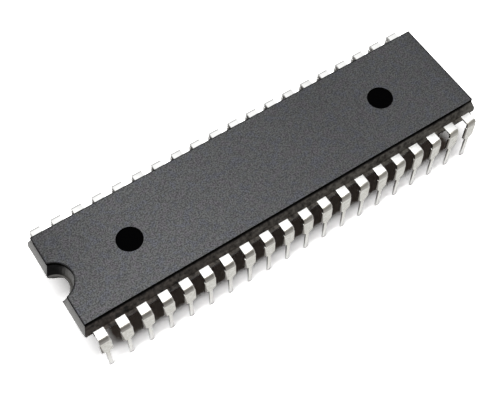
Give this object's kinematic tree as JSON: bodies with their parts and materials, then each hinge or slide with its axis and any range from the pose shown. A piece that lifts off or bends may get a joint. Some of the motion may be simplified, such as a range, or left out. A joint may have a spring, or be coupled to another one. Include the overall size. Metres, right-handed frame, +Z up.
{
  "type": "dual in-line package integrated circuit",
  "caption": "Wide moulded dual in-line integrated circuit with an end notch and two rows of bent tinned leads.",
  "frame": {"origin": "centre of the two lead rows, in the plane of the lead tips", "axes": "+X along the body with the notch at -X, +Z up out of the marked face; lead 1 is at -X and -Y, and the numbers run round to the +Y row"},
  "size_m": [0.0514, 0.0154, 0.0085],
  "materials": {
    "mold_compound": "fine matte epoxy moulding compound",
    "tinned_lead": "matt tin plating",
    "lead_frame": "bare lead frame alloy",
    "die_bond": "silver-filled epoxy",
    "silicon": "polished silicon",
    "bond_wire": "gold wire"
  },
  "bodies": {
    "root": {"molded_body": "mold_compound", "die_paddle": "lead_frame", "die_bond": "die_bond", "silicon_die": "silicon", "bond_wires": "bond_wire", "lead_01": "tinned_lead", "lead_02": "tinned_lead", "lead_03": "tinned_lead", "lead_04": "tinned_lead", "lead_05": "tinned_lead", "lead_06": "tinned_lead", "lead_07": "tinned_lead", "lead_08": "tinned_lead", "lead_09": "tinned_lead", "lead_10": "tinned_lead", "lead_11": "tinned_lead", "lead_12": "tinned_lead", "lead_13": "tinned_lead", "lead_14": "tinned_lead", "lead_15": "tinned_lead", "lead_16": "tinned_lead", "lead_17": "tinned_lead", "lead_18": "tinned_lead", "lead_19": "tinned_lead", "lead_20": "tinned_lead", "lead_21": "tinned_lead", "lead_22": "tinned_lead", "lead_23": "tinned_lead", "lead_24": "tinned_lead", "lead_25": "tinned_lead", "lead_26": "tinned_lead", "lead_27": "tinned_lead", "lead_28": "tinned_lead", "lead_29": "tinned_lead", "lead_30": "tinned_lead", "lead_31": "tinned_lead", "lead_32": "tinned_lead", "lead_33": "tinned_lead", "lead_34": "tinned_lead", "lead_35": "tinned_lead", "lead_36": "tinned_lead", "lead_37": "tinned_lead", "lead_38": "tinned_lead", "lead_39": "tinned_lead", "lead_40": "tinned_lead"}
  },
  "joints": []
}
